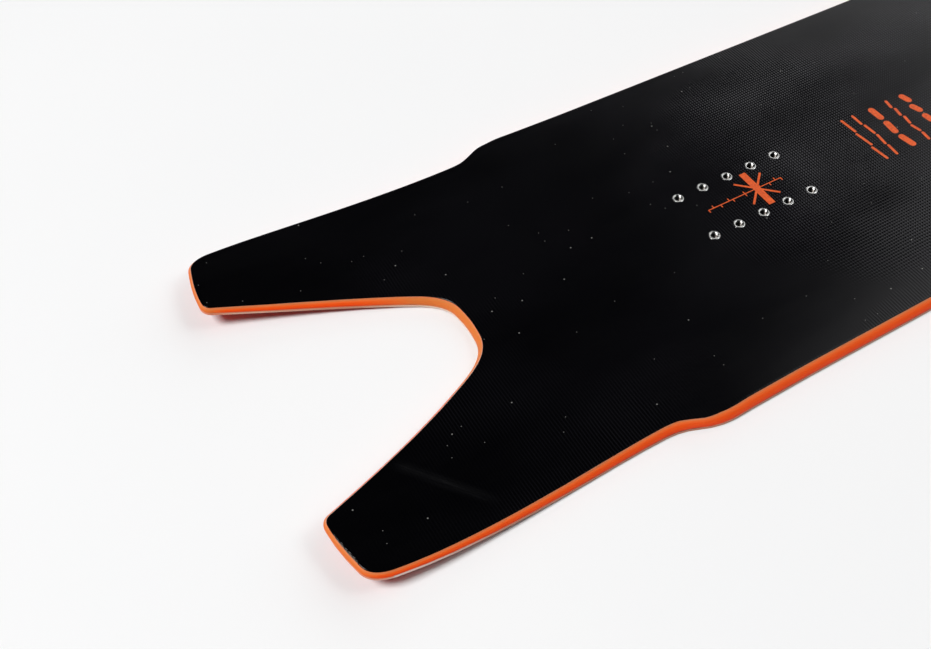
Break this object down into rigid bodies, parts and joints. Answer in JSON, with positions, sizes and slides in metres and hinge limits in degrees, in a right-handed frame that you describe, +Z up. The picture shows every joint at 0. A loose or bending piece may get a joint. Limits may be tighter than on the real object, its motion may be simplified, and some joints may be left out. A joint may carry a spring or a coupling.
{
  "type": "swallowtail powder snowboard",
  "caption": "Solid powder snowboard with a rounded nose, swallowtail notch, wood core, plastic sidewalls, steel edges and threaded binding inserts.",
  "frame": {"origin": "on the level of the flat running base, on the centreline, halfway between the nose tip and the tail tips", "axes": "+Y along the board to the nose, +Z up out of the topsheet, +X across the board"},
  "size_m": [0.3, 1.54, 0.064],
  "materials": {
    "black_topsheet": "matte black printed polyamide, fine embossed weave",
    "orange_sidewall": "sanded orange UHMW polyethylene",
    "fibreglass": "cured epoxy and glass cloth",
    "running_base": "stone-ground sintered polyethylene, orange-red, with a pale cut edge",
    "edge_steel": "ground hardened steel",
    "stainless_steel": "turned stainless steel",
    "black_rubber": "damping rubber foil",
    "poplar_wood": "planed poplar",
    "beech_wood": "planed beech"
  },
  "bodies": {
    "root": {"base_sheet": "running_base", "bottom_glass": "fibreglass", "core_strip_beech_left_1": "beech_wood", "core_strip_beech_left_3": "beech_wood", "core_strip_beech_left_5": "beech_wood", "core_strip_beech_right_1": "beech_wood", "core_strip_beech_right_3": "beech_wood", "core_strip_beech_right_5": "beech_wood", "core_strip_poplar_left_2": "poplar_wood", "core_strip_poplar_left_4": "poplar_wood", "core_strip_poplar_left_6": "poplar_wood", "core_strip_poplar_middle": "poplar_wood", "core_strip_poplar_right_2": "poplar_wood", "core_strip_poplar_right_4": "poplar_wood", "core_strip_poplar_right_6": "poplar_wood", "edge_foil_left": "black_rubber", "edge_foil_right": "black_rubber", "front_inserts": "stainless_steel", "nose_spacer": "orange_sidewall", "rear_inserts": "stainless_steel", "sidewall_left": "orange_sidewall", "sidewall_notch": "orange_sidewall", "sidewall_right": "orange_sidewall", "steel_edge_left": "edge_steel", "steel_edge_right": "edge_steel", "top_glass": "fibreglass", "topsheet": "black_topsheet"}
  },
  "joints": []
}
